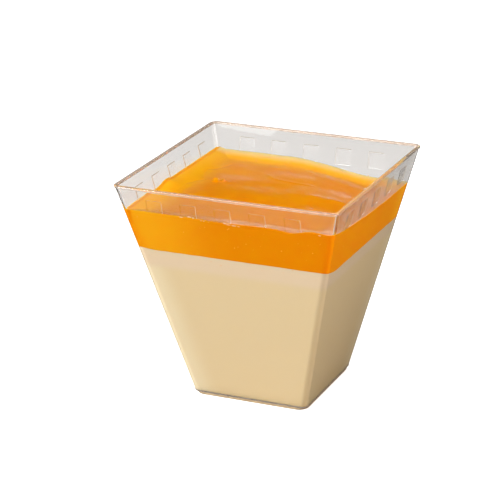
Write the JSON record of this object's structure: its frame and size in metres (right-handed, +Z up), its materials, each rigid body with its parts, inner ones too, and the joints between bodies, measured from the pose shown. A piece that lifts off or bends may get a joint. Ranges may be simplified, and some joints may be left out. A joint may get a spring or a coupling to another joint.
{
  "type": "layered panna cotta dessert in a clear square cup",
  "caption": "Set vanilla cream dessert with a paler top layer and an orange fruit topping, in a clear tapered square cup with small raised squares on the inside under its rim.",
  "frame": {"origin": "on the surface that the cup stands on, under the middle of the cup", "axes": "+Z up through the middle of the cup; X and Y square to its four sides"},
  "size_m": [0.07, 0.07, 0.0692],
  "materials": {
    "clear_cup": "clear moulded plastic, very slightly warm grey",
    "cream": "opaque set cream, pale yellow, smooth and slightly see-through at its surface",
    "pale_cream": "opaque set cream, a little paler and pinker than the rest",
    "fruit_topping": "glossy, slightly see-through orange fruit jelly with a wavy surface"
  },
  "bodies": {
    "root": {"cup": "clear_cup", "cream": "cream", "pale_layer": "pale_cream", "topping": "fruit_topping"}
  },
  "joints": []
}
